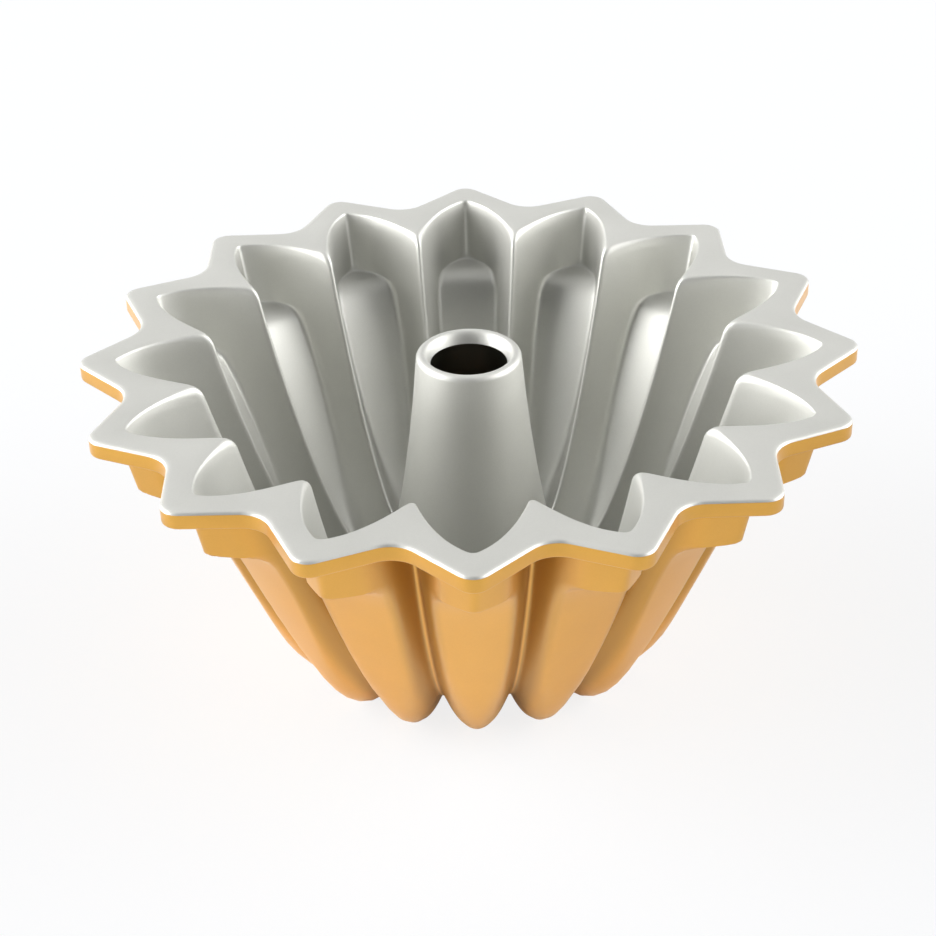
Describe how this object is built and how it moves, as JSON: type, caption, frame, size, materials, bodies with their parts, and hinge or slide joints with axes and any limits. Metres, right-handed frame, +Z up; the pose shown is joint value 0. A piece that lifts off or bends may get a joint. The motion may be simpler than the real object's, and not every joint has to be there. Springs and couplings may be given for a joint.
{
  "type": "fluted tube pan",
  "caption": "Cast round cake pan with pointed flutes, a star-shaped rim and an open centre tube, with a silver release lining inside and gold enamel outside.",
  "frame": {"origin": "middle of the foot circle on the table, under the tube", "axes": "+Z up along the tube, -Y towards a point of the rim"},
  "size_m": [0.26, 0.26, 0.116],
  "materials": {
    "casting": "cast metal, covered by the two films",
    "release_film": "satin silver-grey release coating",
    "gold_enamel": "satin metallic gold enamel"
  },
  "bodies": {
    "root": {"cast_body": "casting", "nonstick_lining": "release_film", "outer_enamel": "gold_enamel"}
  },
  "joints": []
}
